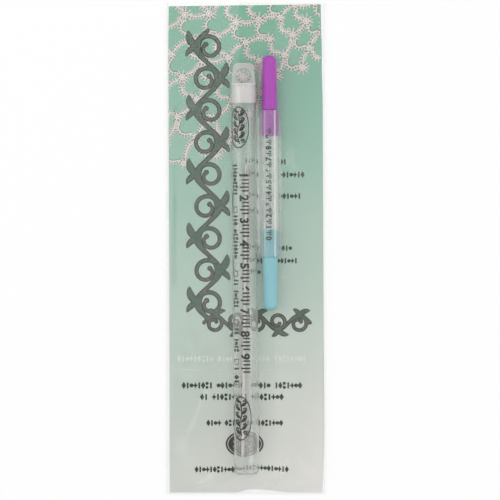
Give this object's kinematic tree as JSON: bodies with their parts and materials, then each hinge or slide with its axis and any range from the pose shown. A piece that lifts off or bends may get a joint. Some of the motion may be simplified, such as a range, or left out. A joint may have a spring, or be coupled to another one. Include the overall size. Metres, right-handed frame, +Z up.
{
  "type": "tatting needle pack",
  "caption": "Steel tatting needle in a clear plugged tube, with a double-ended wire-loop threader and a folded leaflet, all in a clear film bag.",
  "frame": {"origin": "centre of the bag's underside, where the pack lies on its back", "axes": "+X across the pack to its right side, +Y along it to the bag's open mouth, +Z up out of the printed front"},
  "size_m": [0.072, 0.2184, 0.0137],
  "materials": {
    "clear_film": "thin clear plastic film, glossy, lightly creased",
    "printed_paper": "smooth coated paper printed from mint green to warm grey",
    "clear_tube_plastic": "clear rigid plastic, glossy, with small dark print",
    "white_plug_plastic": "natural white soft plastic, slightly translucent",
    "polished_steel": "bright nickel-plated steel",
    "clear_barrel_plastic": "clear rigid plastic, glossy, six flat sides",
    "purple_plastic": "satin purple moulded plastic",
    "teal_plastic": "satin pale teal moulded plastic",
    "steel_wire": "bright drawn spring wire"
  },
  "bodies": {
    "bag": {"bag_back_wall": "clear_film", "bag_front_wall": "clear_film"},
    "leaflet_sheet": {"leaflet": "printed_paper"},
    "tube": {"needle_tube": "clear_tube_plastic"},
    "plug": {"hang_plug": "white_plug_plastic"},
    "needle": {"tatting_needle": "polished_steel"},
    "threader": {"threader_barrel": "clear_barrel_plastic"},
    "fine_end": {"fine_end_handle": "purple_plastic", "fine_wire_loop": "steel_wire"},
    "heavy_end": {"heavy_end_handle": "teal_plastic", "heavy_wire_loop": "steel_wire"}
  },
  "joints": [
    {"name": "leaflet_slide", "type": "slide", "parent": "bag", "child": "leaflet_sheet", "axis": [0, 1, 0], "range_m": [0, 0.219]},
    {"name": "tube_slide", "type": "slide", "parent": "bag", "child": "tube", "axis": [-0.0083, 1, 0], "range_m": [0, 0.211]},
    {"name": "plug_pull", "type": "slide", "parent": "tube", "child": "plug", "axis": [-0.0083, 1, 0], "range_m": [0, 0.167]},
    {"name": "needle_slide", "type": "slide", "parent": "tube", "child": "needle", "axis": [-0.0083, 1, 0], "range_m": [0, 0.167]},
    {"name": "threader_slide", "type": "slide", "parent": "bag", "child": "threader", "axis": [-0.0039, 1, 0], "range_m": [0, 0.138]},
    {"name": "fine_end_pull", "type": "slide", "parent": "threader", "child": "fine_end", "axis": [-0.0039, 1, 0], "range_m": [0, 0.033]},
    {"name": "heavy_end_pull", "type": "slide", "parent": "threader", "child": "heavy_end", "axis": [0.0039, -1, 0], "range_m": [0, 0.033]}
  ],
  "couplings": [
    {"joint": "needle_slide", "follows": "plug_pull", "ratio": 1}
  ]
}
